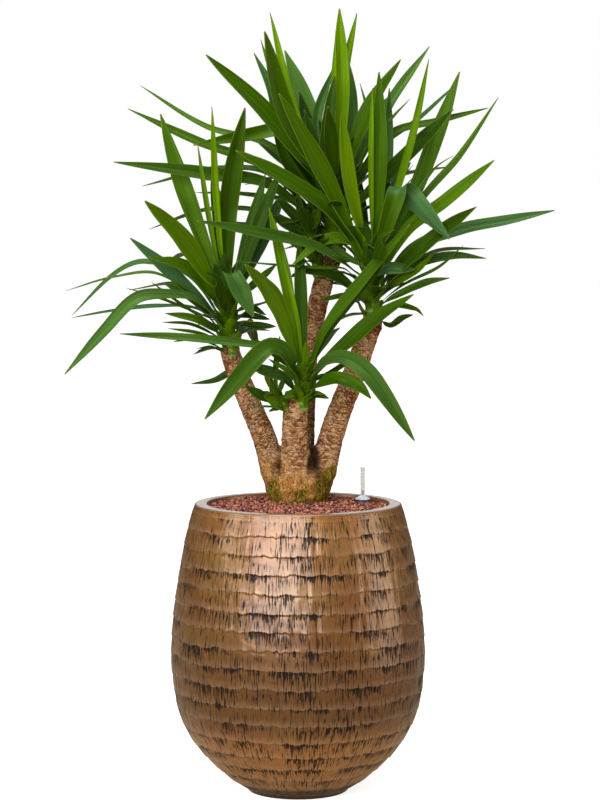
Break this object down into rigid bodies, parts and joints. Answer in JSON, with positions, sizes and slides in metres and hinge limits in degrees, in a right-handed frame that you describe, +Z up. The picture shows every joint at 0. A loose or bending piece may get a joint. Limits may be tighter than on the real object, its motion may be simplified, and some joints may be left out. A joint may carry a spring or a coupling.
{
  "type": "potted yucca",
  "caption": "Yucca with canes on one stump and leafy shoots, standing in clay granules in a bellied, chiselled planter with a water level gauge.",
  "frame": {"origin": "centre of the planter's flat underside", "axes": "+Z up, the pictured front faces -Y, +X to the viewer's right"},
  "size_m": [1.034, 0.7019, 1.6621],
  "materials": {
    "bronze_lacquer": "bronze metallic lacquer over a cast resin wall, with black patina rubbed into the chisel marks",
    "fired_clay": "matte expanded clay pebbles",
    "roots": "fibrous root mass",
    "bark": "rough bark with rows of leaf scars",
    "shoot": "smooth green stem",
    "leaf": "waxy living leaf",
    "dark_plastic": "moulded grey plastic",
    "clear_plastic": "clear moulded plastic",
    "white_foam": "closed cell foam",
    "steel": "drawn wire",
    "red_plastic": "moulded red plastic"
  },
  "bodies": {
    "planter": {"pot": "bronze_lacquer", "clay_granules": "fired_clay", "root_ball": "roots", "trunk": "bark", "left_shoot": "shoot", "right_shoot": "shoot", "top_shoot": "shoot", "rear_left_shoot": "shoot", "front_shoot": "shoot", "front_side_shoot": "shoot", "top_leaf_wide_left": "leaf", "top_leaf_dark_upright": "leaf", "top_leaf_blue_upright": "leaf", "top_leaf_folded": "leaf", "top_leaf_bright_upright": "leaf", "top_leaf_dark_right": "leaf", "top_leaf_blue_right": "leaf", "top_leaf_wide_right": "leaf", "top_leaf_arching_right": "leaf", "top_leaf_long_left": "leaf", "top_leaf_low_left": "leaf", "top_leaf_back_left": "leaf", "top_leaf_back_right": "leaf", "right_leaf_bright_upright": "leaf", "right_leaf_wide_left": "leaf", "right_leaf_upright": "leaf", "right_leaf_narrow_upright": "leaf", "right_leaf_tall": "leaf", "right_leaf_long_upper": "leaf", "right_leaf_bright_lower": "leaf", "right_leaf_dark_lower": "leaf", "right_leaf_far_reaching": "leaf", "right_leaf_folded": "leaf", "right_leaf_long_left": "leaf", "right_leaf_back": "leaf", "left_leaf_tall": "leaf", "left_leaf_dark_upright": "leaf", "left_leaf_wide_bright": "leaf", "left_leaf_blue": "leaf", "left_leaf_low_green": "leaf", "left_leaf_kinked": "leaf", "left_leaf_big_drooping": "leaf", "left_leaf_folded_front": "leaf", "left_leaf_leaning_right": "leaf", "left_leaf_back": "leaf", "front_leaf_wide": "leaf", "front_leaf_long_left": "leaf", "front_leaf_folded": "leaf", "front_leaf_tall_right": "leaf", "front_leaf_dark_right": "leaf", "front_leaf_drooping_right": "leaf", "front_side_leaf_dark": "leaf", "gauge_guide_tube": "dark_plastic", "gauge_foot_cap": "dark_plastic", "gauge_collar": "dark_plastic", "gauge_sight_tube": "clear_plastic", "gauge_top_plug": "dark_plastic"},
    "float": {"gauge_float": "white_foam", "gauge_rod": "steel", "gauge_pointer": "red_plastic"}
  },
  "joints": [
    {"name": "float_slide", "type": "slide", "parent": "planter", "child": "float", "axis": [0, 0, 1], "range_m": [0, 0.045]}
  ]
}
